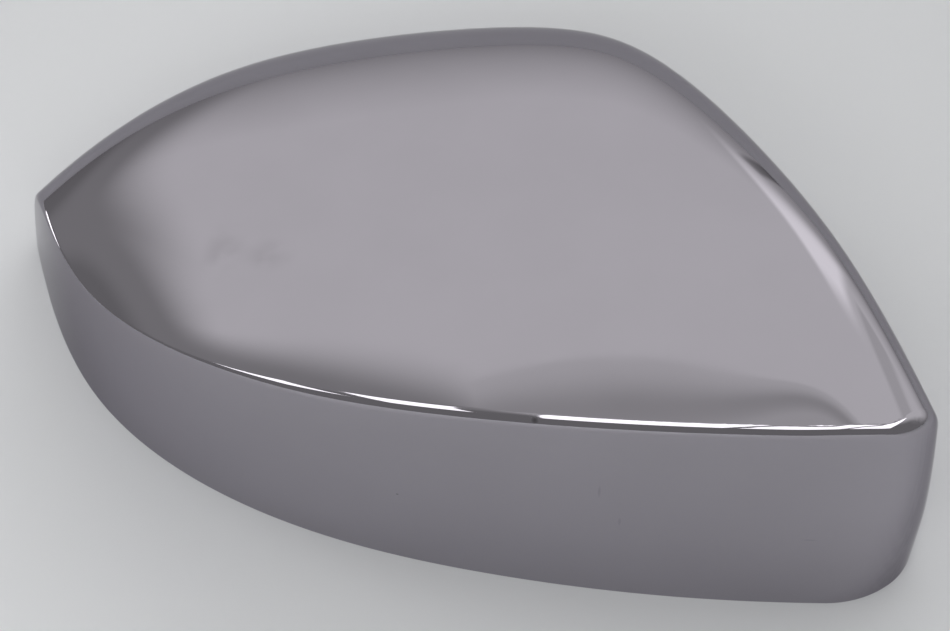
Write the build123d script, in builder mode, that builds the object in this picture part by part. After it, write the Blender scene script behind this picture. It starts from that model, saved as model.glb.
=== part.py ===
from build123d import *
import os
from math import atan2, cos, degrees, exp, hypot, log, radians, sin

# Shell, in millimetres and degrees
cover_length = 254.0
cover_width = 170.0
crown_mid = 62.3
crown_rise = 32.6
crown_bow = 35.8
wall = 2.5
crease_round = 2.8
rim_corner = 25.0
top_corner = 10.0
end_angle = 102.0
wall_top = 84.0
wall_shrink = 0.055
below_rim = 4.0

# Fittings inside the shell
skin = 0.8
clip_width = 13.0
clip_thick = 2.2
clip_gap = 4.0
clip_foot = 5.0
clip_tall = 28.0
clip_free = 9.0
nose_depth = 2.6
nose_tall = 5.0
rib_thick = 1.8
pin_radius = 3.0
pin_lead = 1.0
pin_tip = 12.0
pin_shoulder = 24.0
tower_radius = 5.5
tower_root = 7.5

# Near wall in plan, as shares of length and width, from beyond the tip to the sharp end corner
near_rim = (
    (-0.559, 0.238),
    (-0.498, 0.024),
    (-0.376, -0.273),
    (-0.179, -0.442),
    (0.067, -0.500),
    (0.313, -0.491),
    (0.512, -0.448),
)


# Smaller of two values with a soft change between them
def soft_min(a, b, soft):
    return min(a, b) - soft * log(1 + exp(-abs(a - b) / soft))


# Far rim in plan: a long arc over the top that bends down into the end flank
def far_rim(x):
    u = x / cover_length
    top_side = 0.519 - 0.66 * abs(0.217 - u) ** 2.75
    flank = 0.593 - 3.04 * (u + 0.067) ** 2
    return cover_width * soft_min(top_side, flank, 0.042)


# Slope of the far rim in plan
def far_slope(x):
    step = 0.002 * cover_length
    return (far_rim(x + step) - far_rim(x - step)) / (2 * step)


# Highest line of the crown in plan, kept inside the near wall and clear of the far rim
def crest(x):
    u = x / cover_length
    along_wall = 1.23 * (u - 0.084) ** 2 - 0.37
    return cover_width * soft_min(along_wall, far_rim(x) / cover_width - 0.289, 0.09)


# Section across the crown at x: from the far rim over the crest to beyond the near wall
def section(x, inset):
    u = x / cover_length
    middle = crest(x)
    reach = far_rim(x) - inset * hypot(1, far_slope(x)) - middle
    rise = crown_mid + crown_rise * u - crown_bow * u * u - inset + below_rim
    power = 3.16 + 1.9 * u
    points = []
    for angle in (0, 10, 20, 28, 35, 41, 47, 53, 60, 69, 79, 90, 102, 116):
        across = cos(radians(angle))
        upward = sin(radians(angle))
        size = (abs(across) ** power + upward ** power) ** (1 / power)
        points.append(Vector(x, middle + reach * across / size, rise * upward / size - below_rim))
    return points


# Solid form of the cover, with every surface drawn in by the inset
def cover_form(inset):
    with BuildPart() as form:
        for shrink, height, corner in ((0, 0, rim_corner), (wall_shrink, wall_top, top_corner)):
            size_x = (1 - shrink) * (cover_length - 2 * inset)
            size_y = (1 - shrink) * (cover_width - 2 * inset)
            outline = [(u * size_x, v * size_y) for u, v in near_rim]
            end = outline[-1]
            back_x = end[0] + cover_width * cos(radians(end_angle))
            back_y = end[1] + cover_width * sin(radians(end_angle))
            with BuildSketch(Plane.XY.offset(height)):
                with BuildLine():
                    Spline(*outline)
                    Polyline(end, (back_x, back_y), (outline[0][0], back_y), outline[0])
                make_face()
                fillet(vertices().sort_by(Axis.X)[-1], corner - inset)
        loft(ruled=True)
        rows = [section(cover_length * (step * 0.033 - 0.532), inset) for step in range(34)]
        crown = Face.make_surface_from_array_of_points(rows, tol=0.005)
        extrude(crown, amount=2 * wall_top, dir=(0, 0, -1), mode=Mode.INTERSECT)
    return form


# Outer surface, the surface that trims the fittings, and the hollow
outer_form = cover_form(0)
skin_form = cover_form(skin)
inner_form = cover_form(wall)

# Rounded crease where the crown meets the near wall and the end wall
with outer_form:
    crown_face = faces().sort_by(SortBy.AREA)[-1]
    fillet(crown_face.edges().filter_by_position(Axis.Z, below_rim, wall_top), crease_round)

# Snap clip in its own place: +Y points out of the shell, the nose catches towards +Z
with BuildPart() as clip:
    back = -(wall + clip_gap)
    front = back - clip_thick
    catch = clip_foot + nose_tall
    head = clip_foot + clip_tall
    with BuildSketch(Plane.YZ.offset(-clip_width / 2)):
        with BuildLine():
            Polyline((back, clip_foot), (front, clip_foot), (front - nose_depth, catch))
            Polyline((front - nose_depth, catch), (front, catch), (front, head), (back, head), (back, clip_foot))
        make_face()
    extrude(amount=clip_width)
    with BuildSketch(Plane.XY.offset(clip_foot + clip_free)):
        with Locations((0, front / 2)):
            with GridLocations(clip_width - rib_thick, 0, 2, 1):
                Rectangle(rib_thick, -front)
    extrude(amount=clip_tall - clip_free)

# Locating pin on its tower, tip down
with BuildPart() as pin:
    with BuildSketch(Plane.XZ):
        with BuildLine():
            Polyline((0, pin_tip), (pin_radius - pin_lead, pin_tip), (pin_radius, pin_tip + pin_lead))
            Polyline((pin_radius, pin_tip + pin_lead), (pin_radius, pin_shoulder), (tower_radius, pin_shoulder))
            Polyline((tower_radius, pin_shoulder), (tower_root, wall_top), (0, wall_top), (0, pin_tip))
        make_face()
    revolve(axis=Axis.Z)

# Places for the clips along the rim
clip_spots = []
with BuildLine() as near_line:
    Spline(*[(u * cover_length, v * cover_width) for u, v in near_rim])
for share in (0.38, 0.60, 0.83):
    place = near_line.line @ share
    along = near_line.line % share
    clip_spots.append(Location((place.X, place.Y, 0), (0, 0, degrees(atan2(-along.Y, -along.X)))))
for share in (-0.21, 0.08):
    x = share * cover_length
    clip_spots.append(Location((x, far_rim(x), 0), (0, 0, degrees(atan2(far_slope(x), 1)))))

# Clips and pins, trimmed to stay inside the outer skin
with BuildPart() as fittings:
    with Locations(*clip_spots):
        add(clip.part)
    with Locations(*[(u * cover_length, v * cover_width, 0) for u, v in ((-0.13, -0.03), (0.19, -0.14))]):
        add(pin.part)
    add(skin_form.part, mode=Mode.INTERSECT)

# The cover: outer form, hollowed, with the fittings inside
with BuildPart() as mirror_cover:
    add(outer_form.part)
    add(inner_form.part, mode=Mode.SUBTRACT)
    add(fittings.part)

# The origin lies in the rim plane under the middle of the cover
with BuildPart() as placed_cover:
    middle = mirror_cover.part.bounding_box().center()
    with Locations((-middle.X, -middle.Y, 0)):
        add(mirror_cover.part)

placed_cover.part.label = "mirror_cover"
os.makedirs("parts", exist_ok=True)
export_step(placed_cover.part, "parts/mirror_cover.step")
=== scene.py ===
import math

import bpy
import numpy as np
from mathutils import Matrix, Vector


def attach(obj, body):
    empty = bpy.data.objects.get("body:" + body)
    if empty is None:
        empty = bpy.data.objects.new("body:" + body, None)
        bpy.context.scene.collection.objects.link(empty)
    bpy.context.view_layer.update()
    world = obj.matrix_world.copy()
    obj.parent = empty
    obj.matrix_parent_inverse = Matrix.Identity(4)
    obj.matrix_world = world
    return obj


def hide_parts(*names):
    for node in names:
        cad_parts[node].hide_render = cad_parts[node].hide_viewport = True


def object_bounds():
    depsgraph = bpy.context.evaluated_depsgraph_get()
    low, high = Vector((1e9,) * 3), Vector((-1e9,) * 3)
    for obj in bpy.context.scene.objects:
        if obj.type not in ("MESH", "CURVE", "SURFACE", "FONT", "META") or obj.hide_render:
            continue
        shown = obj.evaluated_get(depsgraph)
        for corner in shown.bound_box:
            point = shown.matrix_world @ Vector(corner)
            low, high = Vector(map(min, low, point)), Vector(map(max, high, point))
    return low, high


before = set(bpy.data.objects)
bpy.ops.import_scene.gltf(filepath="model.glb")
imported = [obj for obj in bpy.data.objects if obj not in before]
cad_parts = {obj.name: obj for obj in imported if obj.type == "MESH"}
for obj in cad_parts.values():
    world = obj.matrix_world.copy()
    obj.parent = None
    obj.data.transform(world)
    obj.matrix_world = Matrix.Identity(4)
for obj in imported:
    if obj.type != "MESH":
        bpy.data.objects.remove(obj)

cad_low, cad_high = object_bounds()
root = "root"

# The cover's form, in millimetres, as in the part's source
LENGTH = 254.0
WIDTH = 170.0
CROWN_MID = 62.3
CROWN_RISE = 32.6
CROWN_BOW = 35.8
BELOW = 4.0
WALL = 2.5
WALL_TOP = 84.0
CORNERS = ((0.0, 26.0), (37.0, 16.0), (84.0, 16.0))
SHARP_CREASE = 0.6
ROUND_CREASE = 2.3
TIP_CREASE = 1.6
CORNER_CREASE = 3.0
END_CREASE = 14.0
INNER_CREASE = 0.8
SHRINK = (0.055, 0.045)
END = math.radians(102.0)
CENTRE = (0.822, 0.042, 0.0)
NEAR = (
    (-0.559, 0.238),
    (-0.498, 0.024),
    (-0.376, -0.273),
    (-0.179, -0.442),
    (0.067, -0.500),
    (0.313, -0.491),
    (0.512, -0.448),
)

# Where the rays that find the surface start, how far they look, and the middle of the near wall's turns
HUB = np.array([5.0, -12.0, 0.0])
RAY_START = 20.0
RAY_STOP = 175.0
POLAR = (0.0, 10.0)


def soft_min(a, b, soft):
    return np.minimum(a, b) - soft * np.log1p(np.exp(-np.abs(a - b) / soft))


def far_rim(x):
    u = x / LENGTH
    top_side = 0.519 - 0.66 * np.abs(0.217 - u) ** 2.75
    flank = 0.593 - 3.04 * (u + 0.067) ** 2
    return WIDTH * soft_min(top_side, flank, 0.042)


def crest(x):
    u = x / LENGTH
    return WIDTH * soft_min(1.23 * (u - 0.084) ** 2 - 0.37, far_rim(x) / WIDTH - 0.289, 0.09)


# Cubic through the near wall's points, with end slopes from the four points next to each end
def near_curve():
    p = np.array(NEAR) * (LENGTH, WIDTH)
    k = np.concatenate([[0], np.cumsum(np.hypot(*np.diff(p, axis=0).T))])

    def end_slope(t, q, at):
        total = 0
        for i in range(4):
            others = [m for m in range(4) if m != i]
            rate = 0
            for m in others:
                rest = [n for n in others if n != m]
                rate += np.prod([at - t[n] for n in rest])
            total = total + q[i] * rate / np.prod([t[i] - t[m] for m in others])
        return total

    n = len(p)
    h = np.diff(k)
    a = np.eye(n)
    b = np.zeros((n, 2))
    b[0] = end_slope(k[:4], p[:4], k[0])
    b[-1] = end_slope(k[-4:], p[-4:], k[-1])
    for i in range(1, n - 1):
        a[i, i - 1:i + 2] = 1 / h[i - 1], 2 / h[i - 1] + 2 / h[i], 1 / h[i]
        b[i] = 3 * ((p[i] - p[i - 1]) / h[i - 1] ** 2 + (p[i + 1] - p[i]) / h[i] ** 2)
    m = np.linalg.solve(a, b)
    t = np.linspace(0, k[-1], 1600)
    i = np.clip(np.searchsorted(k, t) - 1, 0, n - 2)
    s = ((t - k[i]) / h[i])[:, None]
    step = h[i][:, None]
    curve = (2 * s ** 3 - 3 * s ** 2 + 1) * p[i] + (s ** 3 - 2 * s ** 2 + s) * step * m[i]
    curve += (3 * s ** 2 - 2 * s ** 3) * p[i + 1] + (s ** 3 - s ** 2) * step * m[i + 1]
    run = np.geomspace(2000, 0.2, 600)[:, None]
    before = curve[0] - run * m[0] / np.hypot(*m[0])
    after = curve[-1] + run[::-1] * m[-1] / np.hypot(*m[-1])
    return np.concatenate([before, curve, after])


near_line = near_curve() - POLAR
near_angle = np.unwrap(np.arctan2(near_line[:, 1], near_line[:, 0]))
near_radius = np.hypot(near_line[:, 0], near_line[:, 1])
middle_angle = near_angle[len(near_angle) // 2]


# Levels that are zero on a surface and negative inside it
def crown_level(p, inset):
    x, y, z = p
    u = x / LENGTH
    middle = crest(x)
    reach = far_rim(x) - inset * np.hypot(1, far_rim(x + 0.5) - far_rim(x - 0.5)) - middle
    rise = CROWN_MID + CROWN_RISE * u - CROWN_BOW * u * u - inset + BELOW
    power = 3.16 + 1.9 * u
    across = np.abs((y - middle) / reach)
    upward = np.abs((z + BELOW) / rise)
    return (across ** power + upward ** power) ** (1 / power) - 1


def lean(p, inset):
    height = p[2] / WALL_TOP
    size_x = (1 - SHRINK[0] * height) * (LENGTH - 2 * inset)
    size_y = (1 - SHRINK[1] * height) * (WIDTH - 2 * inset)
    return size_x, size_y


def near_level(p, inset):
    size_x, size_y = lean(p, inset)
    x = p[0] * LENGTH / size_x - POLAR[0]
    y = p[1] * WIDTH / size_y - POLAR[1]
    angle = np.arctan2(y, x)
    angle = middle_angle + (angle - middle_angle + np.pi) % (2 * np.pi) - np.pi
    order = 1 if near_angle[-1] > near_angle[0] else -1
    edge = np.interp(angle, near_angle[::order], near_radius[::order])
    return np.hypot(x, y) / edge - 1


def end_level(p, inset):
    size_x, size_y = lean(p, inset)
    return (p[0] - NEAR[-1][0] * size_x) * math.sin(END) - (p[1] - NEAR[-1][1] * size_y) * math.cos(END)


def slope_of(function, p, step=0.05):
    rows = []
    for axis in range(3):
        d = np.zeros((3, 1))
        d[axis] = step
        rows.append((function(p + d) - function(p - d)) / (2 * step))
    return np.stack(rows)


def distance(level, p, inset):
    slope = slope_of(lambda q: level(q, inset), p)
    size = np.sqrt((slope ** 2).sum(0))
    return level(p, inset) / size, slope / size


# Larger of two distances, with the edge between the two surfaces rounded, and its slope
def rounded(a, slope_a, b, slope_b, radius):
    turn = np.clip((slope_a * slope_b).sum(0), -0.98, 0.98)
    a_in = a + radius
    b_in = b + radius
    share_a = (a_in - b_in * turn) / (1 - turn ** 2)
    share_b = (b_in - a_in * turn) / (1 - turn ** 2)
    reach = share_a * slope_a + share_b * slope_b
    ball = np.sqrt((reach ** 2).sum(0))
    on_round = (share_a > 0) & (share_b > 0)
    level = np.where(on_round, ball - radius, np.maximum(a, b))
    slope = np.where(on_round, reach / np.maximum(ball, 1e-6), np.where(a > b, slope_a, slope_b))
    return level, slope


def smooth(value, low, high):
    t = np.clip((value - low) / (high - low), 0, 1)
    return t * t * (3 - 2 * t)


# Radius of the wall's end corner: a parabola through its radius at three heights
def corner_radius(z):
    total = 0
    for height, radius in CORNERS:
        others = [h for h, _ in CORNERS if h != height]
        total = total + radius * np.prod([(z - h) / (height - h) for h in others], axis=0)
    return total


# Radius of the crease: sharp near the tip, rounder at it and along the near wall, widest down the end
def crease_radius(p):
    x, _, z = p
    along = SHARP_CREASE + (ROUND_CREASE - SHARP_CREASE) * smooth(x, -72, -18)
    at_end = CORNER_CREASE * smooth(x, 108, 119) + END_CREASE * smooth(x, 104, 114) * smooth(-z, -46, -8)
    return along + at_end + TIP_CREASE * smooth(-x, 104, 120)


def wall_distance(p, inset):
    near, near_slope = distance(near_level, p, inset)
    end, end_slope = distance(end_level, p, inset)
    corner = corner_radius(np.clip(p[2], 0, WALL_TOP)) - inset
    return rounded(near, near_slope, end, end_slope, corner)


def shape(p, inset):
    crown, crown_slope = distance(crown_level, p, inset)
    wall, wall_slope = wall_distance(p, inset)
    radius = crease_radius(p) if inset == 0 else INNER_CREASE
    return rounded(crown, crown_slope, wall, wall_slope, radius)[0]


# Points where rays from the hub meet a skin: halving first, then false position
def cast(angle, tilt, inset):
    way = np.stack([np.cos(angle) * np.cos(tilt), np.sin(angle) * np.cos(tilt), np.sin(tilt)])
    low = np.full(angle.shape, RAY_START)
    high = np.full(angle.shape, RAY_STOP)
    for _ in range(9):
        mid = (low + high) / 2
        out = shape(HUB[:, None] + way * mid, inset) > 0
        high = np.where(out, mid, high)
        low = np.where(out, low, mid)
    f_low = shape(HUB[:, None] + way * low, inset)
    f_high = shape(HUB[:, None] + way * high, inset)
    for _ in range(5):
        rise = f_high - f_low
        mid = low - f_low * (high - low) / np.where(np.abs(rise) < 1e-9, 1e-9, rise)
        mid = np.clip(mid, low, high)
        value = shape(HUB[:, None] + way * mid, inset)
        out = value > 0
        f_high = np.where(out, value, f_high * 0.5)
        f_low = np.where(out, f_low * 0.5, value)
        high = np.where(out, mid, high)
        low = np.where(out, low, mid)
    return HUB[:, None] + way * mid


def on_wall(p, inset):
    return wall_distance(p, inset)[0] > distance(crown_level, p, inset)[0]


# Turn at which the crease line meets the rim, found between two turns
def crease_end(start, stop):
    for _ in range(30):
        mid = (start + stop) / 2
        if on_wall(cast(np.array([mid]), np.zeros(1), 0.0), 0.0)[0]:
            start = mid
        else:
            stop = mid
    return (start + stop) / 2


def crease_tilt(angle, inset):
    low = np.zeros(angle.shape)
    high = np.full(angle.shape, math.radians(80))
    for _ in range(22):
        mid = (low + high) / 2
        wall = on_wall(cast(angle, mid, inset), inset)
        low = np.where(wall, mid, low)
        high = np.where(wall, high, mid)
    return (low + high) / 2


# Turns of the grid's columns, closer together at the end corner and at the tip
tip_turn = crease_end(math.radians(-120), math.radians(-215))
end_turn = crease_end(math.radians(-45), math.radians(10))
fine = tip_turn + 2 * np.pi * np.linspace(0, 1, 8001) ** 2
crowding = 1 + 2.6 * np.exp(-((fine - end_turn + 0.06) / 0.16) ** 4)
crowding += 5 * np.exp(-((fine - end_turn + 0.03) / 0.06) ** 4)
before_tip = np.exp(-((fine - fine[-1]) / 0.18) ** 2)
crowding += 1.6 * np.exp(-((fine - tip_turn) / 0.18) ** 2) + 1.6 * before_tip
crowding += 1.3 * np.exp((tip_turn - fine) / 0.04) / np.sqrt(fine - tip_turn + 0.0002)
share = np.concatenate([[0], np.cumsum((crowding[1:] + crowding[:-1]) / 2 * np.diff(fine))])
COLUMNS = 540
turns = np.interp(np.arange(COLUMNS) / COLUMNS, share / share[-1], fine)
corner_turn = end_turn - math.radians(0.3)
near_side = turns < corner_turn
FADE = math.radians(9)
near_share = smooth(corner_turn + FADE - turns, 0, FADE) * smooth(turns - tip_turn, 0, FADE)


LEAST_TILT = math.radians(0.3)


# Rows of one skin: from the rim up to the crease line, and on from there to the top of the crown
def skin_rows(inset, wall_rows, crown_rows):
    line = np.zeros(COLUMNS)
    line[near_side] = crease_tilt(turns[near_side], inset)
    line[0] = LEAST_TILT
    peak = line[near_side][-1]
    back = (turns[~near_side] - corner_turn) / (fine[-1] - corner_turn)
    line[~near_side] = peak * (1 - back) ** 0.8 + LEAST_TILT * back
    tilts = np.concatenate([np.linspace(0, 0.9, 46), np.linspace(0.93, math.pi / 2, 22)])
    count = len(tilts)
    coarse = cast(np.repeat(turns, count), np.tile(tilts, COLUMNS), inset).reshape(3, COLUMNS, count)
    run = np.sqrt((np.diff(coarse, axis=2) ** 2).sum(0))
    run = np.concatenate([np.zeros((COLUMNS, 1)), np.cumsum(run, axis=1)], axis=1)
    rows = np.zeros((COLUMNS, wall_rows + crown_rows + 1))
    for i in range(COLUMNS):
        crease_run = np.interp(line[i], tilts, run[i])
        power = 1.05 + 0.65 * near_share[i]
        below = crease_run * (1 - (1 - np.arange(wall_rows) / wall_rows) ** power)
        steps = np.arange(crown_rows + 1) / crown_rows
        above = crease_run + (run[i, -1] - crease_run) * steps ** power
        rows[i] = np.interp(np.concatenate([below, above]), run[i], tilts)
        rows[i, wall_rows] = line[i]
    count = rows.shape[1]
    points = cast(np.repeat(turns, count), rows.ravel(), inset)
    slope = slope_of(lambda q: shape(q, inset), points)
    slope /= np.sqrt((slope ** 2).sum(0))
    return points.reshape(3, COLUMNS, count), slope.reshape(3, COLUMNS, count)


def grid_faces(columns, rows, first, inward):
    i = np.arange(columns)[:, None]
    j = np.arange(rows - 1)[None, :]
    here = i * rows + j
    after = (i + 1) % columns * rows + j
    corners = np.stack([here, after, after + 1, here + 1], -1) + first
    corners = corners.reshape(-1, 4)
    return corners[:, ::-1] if inward else corners


low_corner = np.array(cad_low)
high_corner = np.array(cad_high)


def make_mesh(name, points, normals, faces, material):
    spot = np.clip((points + CENTRE) / 1000, low_corner, high_corner)
    mesh = bpy.data.meshes.new(name)
    mesh.from_pydata(spot.tolist(), [], faces)
    mesh.update()
    mesh.polygons.foreach_set("use_smooth", np.ones(len(mesh.polygons), bool))
    mesh.normals_split_custom_set_from_vertices(normals.tolist())
    obj = bpy.data.objects.new(name, mesh)
    bpy.context.scene.collection.objects.link(obj)
    mesh.materials.append(material)
    return obj


def new_material(name):
    material = bpy.data.materials.new(name)
    material.use_nodes = True
    nodes = material.node_tree.nodes
    return material, nodes, material.node_tree.links, nodes["Principled BSDF"]


def put(socket, value):
    if isinstance(value, (int, float)):
        socket.default_value = value
    else:
        links.new(value, socket)


def combine(kind, *values):
    total = values[0]
    for value in values[1:]:
        node = nodes.new("ShaderNodeMath")
        node.operation = kind
        put(node.inputs[0], total)
        put(node.inputs[1], value)
        total = node.outputs[0]
    return total


def blend(share, low, high):
    node = nodes.new("ShaderNodeMix")
    put(node.inputs["Factor"], share)
    put(node.inputs["A"], low)
    put(node.inputs["B"], high)
    return node.outputs["Result"]


def spread(value, low, high, out_low, out_high, kind="SMOOTHSTEP"):
    node = nodes.new("ShaderNodeMapRange")
    node.interpolation_type = kind
    limits = {"From Min": low, "From Max": high, "To Min": out_low, "To Max": out_high}
    for key, number in limits.items():
        node.inputs[key].default_value = number
    links.new(value, node.inputs["Value"])
    return node.outputs["Result"]


def place_on_part():
    return nodes.new("ShaderNodeTexCoord").outputs["Object"]


def noise(scale, detail, low, high):
    node = nodes.new("ShaderNodeTexNoise")
    links.new(place_on_part(), node.inputs["Vector"])
    node.inputs["Scale"].default_value = scale
    node.inputs["Detail"].default_value = detail
    return spread(node.outputs["Fac"], 0.3, 0.7, low, high)


# Distance from a spot on the part, in shares of a size, both in millimetres
def away(spot, size):
    move = nodes.new("ShaderNodeVectorMath")
    move.operation = "SUBTRACT"
    links.new(place_on_part(), move.inputs[0])
    move.inputs[1].default_value = [(a + b) / 1000 for a, b in zip(spot, CENTRE)]
    share = nodes.new("ShaderNodeVectorMath")
    share.operation = "MULTIPLY"
    links.new(move.outputs["Vector"], share.inputs[0])
    share.inputs[1].default_value = [1000 / value for value in size]
    length = nodes.new("ShaderNodeVectorMath")
    length.operation = "LENGTH"
    links.new(share.outputs["Vector"], length.inputs[0])
    return length.outputs["Value"]


def wavy(shader, scale, depth):
    node = nodes.new("ShaderNodeBump")
    node.inputs["Distance"].default_value = depth
    links.new(noise(scale, 1.0, 0, 1), node.inputs["Height"])
    links.new(node.outputs["Normal"], shader.inputs["Normal"])


# A nick at the crease, a speck, scratches on the near wall and two smudges on the crown
DARK_MARKS = (
    ((27.2, -81.0, 64.5), (1.3, 1.8, 0.9), 0.75),
    ((-6.8, -81.7, 26.4), (0.5, 1.5, 0.4), 0.5),
    ((43.7, -83.1, 41.1), (0.5, 2.5, 3.0), 0.16),
    ((49.2, -83.6, 29.9), (0.5, 2.5, 2.2), 0.14),
    ((96.0, -80.0, 26.9), (2.6, 2.5, 0.4), 0.14),
)
SMUDGES = (((-47.6, -33.4, 54.9), (9.0, 7.0, 6.0)), ((-59.8, -32.1, 52.6), (8.0, 13.0, 7.0)))

# Bright plating outside, the same plating over a rougher moulding inside
chrome, nodes, links, shader = new_material("chrome")
marks = [spread(away(spot, size), 0.3, 1.0, depth, 0.0) for spot, size, depth in DARK_MARKS]
dark = combine("MAXIMUM", *marks)
patches = combine("ADD", *[spread(away(spot, size), 0.2, 1.0, 1.0, 0.0) for spot, size in SMUDGES])
smudge = combine("MULTIPLY", patches, noise(120, 4.0, 0.0, 1.0))
tint = nodes.new("ShaderNodeMix")
tint.data_type = "RGBA"
tint.inputs[6].default_value = (0.407, 0.388, 0.424, 1)
tint.inputs[7].default_value = (0.07, 0.065, 0.07, 1)
film = combine("ADD", combine("MULTIPLY", smudge, 0.10), noise(38, 5.0, 0.0, 0.03))
links.new(combine("MAXIMUM", dark, film), tint.inputs["Factor"])
links.new(tint.outputs[2], shader.inputs["Base Color"])
shader.inputs["Metallic"].default_value = 1.0
rough = combine("ADD", noise(55, 4.0, 0.020, 0.040), combine("MULTIPLY", smudge, 0.09))
links.new(rough, shader.inputs["Roughness"])
shader.inputs["Specular Tint"].default_value = (0.55, 0.54, 0.56, 1)
wavy(shader, 14, 0.00002)

inside, nodes, links, shader = new_material("chrome_inside")
shader.inputs["Base Color"].default_value = (0.403, 0.384, 0.420, 1)
shader.inputs["Metallic"].default_value = 1.0
links.new(noise(90, 4.0, 0.27, 0.38), shader.inputs["Roughness"])
wavy(shader, 60, 0.00008)

# Outer skin with the rim's flat edge, and the hollow's skin
outer, outer_slope = skin_rows(0.0, 34, 96)
inner, inner_slope = skin_rows(WALL, 14, 26)


def flat_list(grid):
    return grid.reshape(3, -1).T


rim = np.stack([outer[:, :, 0], inner[:, :, 0]], axis=2)
outer_count = outer.shape[1] * outer.shape[2]
skin_faces = grid_faces(COLUMNS, outer.shape[2], 0, False).tolist()
rim_faces = grid_faces(COLUMNS, 2, outer_count, True).tolist()
down = np.tile([0.0, 0.0, -1.0], (2 * COLUMNS, 1))
shell = make_mesh(
    "cover_shell",
    np.concatenate([flat_list(outer), flat_list(rim)]),
    np.concatenate([flat_list(outer_slope), down]),
    skin_faces + rim_faces,
    chrome,
)

# Clips and pins: the faces of the solid that lie within the hollow, by limits in millimetres
RIM_LIMIT = 0.02
CLEAR_OF_SKIN = -1.2
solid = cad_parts["mirror_cover"].data
where = np.array([v.co for v in solid.vertices]) * 1000 - CENTRE
corners = np.array([p.vertices[:] for p in solid.polygons])
group = np.arange(len(where))
while True:
    least = group[corners].min(1)
    joined = group.copy()
    np.minimum.at(joined, corners.ravel(), np.repeat(least, 3))
    if (joined == group).all():
        break
    group = joined
in_hollow = shape(where.T, WALL)
fitting = np.zeros(len(where), bool)
for key in np.unique(group):
    member = group == key
    on_rim = np.abs(where[member, 2]).max() < RIM_LIMIT
    fitting[member] = np.median(in_hollow[member]) < CLEAR_OF_SKIN and not on_rim
kept = corners[fitting[corners].all(1)]
used = np.unique(kept)
place = np.zeros(len(where), int)
inner_count = inner.shape[1] * inner.shape[2]
place[used] = np.arange(len(used)) + inner_count
edge_a = where[kept[:, 1]] - where[kept[:, 0]]
edge_b = where[kept[:, 2]] - where[kept[:, 0]]
across = np.cross(edge_a, edge_b)
fit_normal = np.zeros_like(where)
for k in range(3):
    np.add.at(fit_normal, kept[:, k], across)
fit_normal = fit_normal[used] / np.maximum(np.linalg.norm(fit_normal[used], axis=1, keepdims=True), 1e-9)
hollow = make_mesh(
    "cover_inside",
    np.concatenate([flat_list(inner), where[used]]),
    np.concatenate([-flat_list(inner_slope), fit_normal]),
    grid_faces(COLUMNS, inner.shape[2], 0, True).tolist() + place[kept].tolist(),
    inside,
)
for piece in (shell, hollow):
    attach(piece, root)
    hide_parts("mirror_cover")

# Floor, camera and light
for name in ("Cube", "Light", "Camera"):
    if name in bpy.data.objects:
        bpy.data.objects.remove(bpy.data.objects[name])
floor_mesh = bpy.data.meshes.new("floor")
FLOOR = 8
floor_corners = [(-FLOOR, -FLOOR, 0), (FLOOR, -FLOOR, 0), (FLOOR, FLOOR, 0), (-FLOOR, FLOOR, 0)]
floor_mesh.from_pydata(floor_corners, [], [(0, 1, 2, 3)])
floor = bpy.data.objects.new("floor", floor_mesh)
bpy.context.scene.collection.objects.link(floor)
pale, nodes, links, shader = new_material("floor")
shader.inputs["Base Color"].default_value = (0.795, 0.805, 0.82, 1)
shader.inputs["Roughness"].default_value = 0.9
shader.inputs["Specular IOR Level"].default_value = 0.0
floor_mesh.materials.append(pale)

# The camera fitted to the photograph: its direction, its distance in metres and its focal length in pixels
azimuth = math.radians(8.82)
elevation = math.radians(51.70)
DISTANCE = 0.6633
FOCAL_PIXELS = 2477.8
PHOTO_PIXELS = 950
SENSOR = 36.0
level_part = math.cos(elevation)
back = Vector((math.sin(azimuth) * level_part, -math.cos(azimuth) * level_part, math.sin(elevation)))
aim = (Vector((2.89, -17.58, 19.80)) + Vector(CENTRE)) / 1000
camera = bpy.data.objects.new("camera", bpy.data.cameras.new("camera"))
bpy.context.scene.collection.objects.link(camera)
camera.data.sensor_width = SENSOR
camera.data.lens = SENSOR * FOCAL_PIXELS / PHOTO_PIXELS
camera.data.clip_start = 0.01
camera.location = aim + back * DISTANCE
camera.rotation_mode = "QUATERNION"
camera.rotation_quaternion = (-back).to_track_quat("-Z", "Y")
bpy.context.scene.camera = camera


def lamp(name, spot, look, size_x, size_y, watts):
    data = bpy.data.lights.new(name, "AREA")
    data.shape = "RECTANGLE"
    data.size = size_x
    data.size_y = size_y
    data.energy = watts
    obj = bpy.data.objects.new(name, data)
    bpy.context.scene.collection.objects.link(obj)
    obj.location = spot
    obj.rotation_mode = "QUATERNION"
    obj.rotation_quaternion = (Vector(look) - Vector(spot)).to_track_quat("-Z", "Y")
    obj.visible_camera = False
    return obj


# A row of ceiling panels that the metal shows, and four lamps for the floor
PANELS = ((-0.60, -0.46), (-0.375, -0.238), (-0.145, 0.085), (0.105, 0.17), (0.19, 0.45))
PANEL_DEPTH = 0.59
PANEL_HEIGHT = 0.75
PANEL_LEVEL = 2.6
for number, (start, stop) in enumerate(PANELS):
    middle = (start + stop) / 2
    watts = PANEL_LEVEL * math.pi * (stop - start) * PANEL_DEPTH
    spot = (middle, 0, PANEL_HEIGHT)
    panel = lamp("panel_%d" % number, spot, (middle, 0, 0), stop - start, PANEL_DEPTH, watts)
    panel.visible_diffuse = False
ceiling = lamp("ceiling", (-0.12, -0.02, 0.75), (-0.12, -0.02, 0), 0.8, 0.34, 3.1)
fill = lamp("fill", (0, -0.7, 0.55), (0, -0.15, 0), 0.6, 0.3, 2.0)
far = lamp("far", (-0.1, 1.3, 0.9), (-0.1, 1.3, 0), 1.6, 0.5, 1.4)
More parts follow.
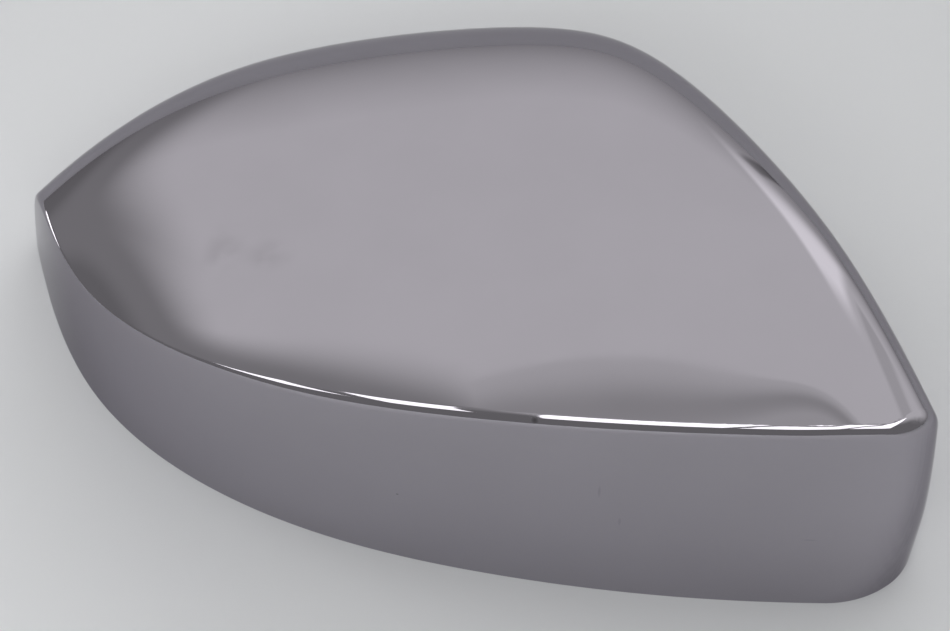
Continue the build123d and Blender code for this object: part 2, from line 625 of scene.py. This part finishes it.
farthest = lamp("farthest", (-0.1, 4.5, 3.0), (-0.1, 4.5, 0), 5.0, 2.5, 24.0)
for floor_lamp in (ceiling, fill, far, farthest):
    floor_lamp.visible_glossy = False

world = bpy.data.worlds.new("world")
bpy.context.scene.world = world
world.use_nodes = True
nodes = world.node_tree.nodes
links = world.node_tree.links
sky = nodes["Background"]
way = nodes.new("ShaderNodeTexCoord")


# Value of a direction along an axis, changed from one level to another between two limits
def ramp(axis, low, high, out_low, out_high, kind="SMOOTHSTEP"):
    dot = nodes.new("ShaderNodeVectorMath")
    dot.operation = "DOT_PRODUCT"
    links.new(way.outputs["Generated"], dot.inputs[0])
    dot.inputs[1].default_value = axis
    return spread(dot.outputs["Value"], low, high, out_low, out_high, kind)


# Directions of the ramps: edges of the backdrop, a bright strip, a dark line and a light for the tip
UP = (0, 0, 1)
LEFT_EDGE = (0.858, 0.374, 0.353)
TOP_EDGE = (-0.167, 0, 1)
LEFT_TOP_EDGE = (-0.44, 0, 1)
STRIP_START = (0.9244, -0.4044, -0.17)
STRIP_STOP = (0.9244, -0.4044, 0.2873)
LINE = (0.913, -0.246, 0.323)
TIP_LIGHT = (-0.881, 0.432, 0.191)
left_top = blend(ramp((1, 0, 0), -0.30, -0.19, 0, 1), ramp(LEFT_TOP_EDGE, 0.874, 0.896, 1.0, 0.42), 1.0)
top = combine(
    "MULTIPLY",
    ramp(TOP_EDGE, 0.8035, 0.8050, 1.0, 0.85),
    ramp(TOP_EDGE, 0.8050, 0.820, 1.0, 0.66),
    ramp(TOP_EDGE, 0.821, 0.845, 1.0, 1.3),
)
rising = ramp(UP, 0.0, 0.42, 0.53, 0.915, "LINEAR")
backdrop = combine("MULTIPLY", rising, combine("MINIMUM", top, left_top))
strip = combine(
    "MULTIPLY",
    ramp(STRIP_START, -0.318, -0.282, 0, 1),
    ramp(STRIP_STOP, 0.035, 0.08, 1, 0),
    ramp(UP, 0.12, 0.38, 0, 1),
    ramp(UP, 0.54, 0.74, 1, 0),
    0.55,
)
gap = combine(
    "MULTIPLY",
    ramp(STRIP_STOP, 0.08, 0.11, 0, 1),
    ramp(STRIP_STOP, 0.16, 0.20, 1, 0),
    ramp(UP, 0.42, 0.50, 0, 0.2),
)
line = combine(
    "MULTIPLY",
    ramp(LINE, -0.022, -0.008, 0, 1),
    ramp(LINE, 0.008, 0.022, 1, 0),
    ramp(UP, 0.15, 0.23, 1, 0),
    0.32,
)
right = ramp((0.940, -0.342, 0), 0.0, 0.10, 0, 1)
low_right = blend(right, 1.0, ramp(UP, 0.0, 0.22, 0.72, 1.0))
lit = combine("MULTIPLY", combine("SUBTRACT", combine("ADD", backdrop, strip), gap, line), low_right)
behind = blend(ramp(LEFT_EDGE, -0.05, 0.045, 0, 1), ramp(LEFT_EDGE, -0.17, -0.08, 0.27, 0.37), lit)
FRONT_LEVEL = 0.27
level = blend(ramp((0, 1, 0), -0.1, 0.45, 0, 1), FRONT_LEVEL, behind)
tip_light = ramp(TIP_LIGHT, 0.9816, 0.9881, 0, 4.0)
links.new(combine("ADD", level, tip_light), sky.inputs["Strength"])
sky.inputs["Color"].default_value = (1, 1, 1, 1)

bpy.context.scene.view_settings.view_transform = "Standard"
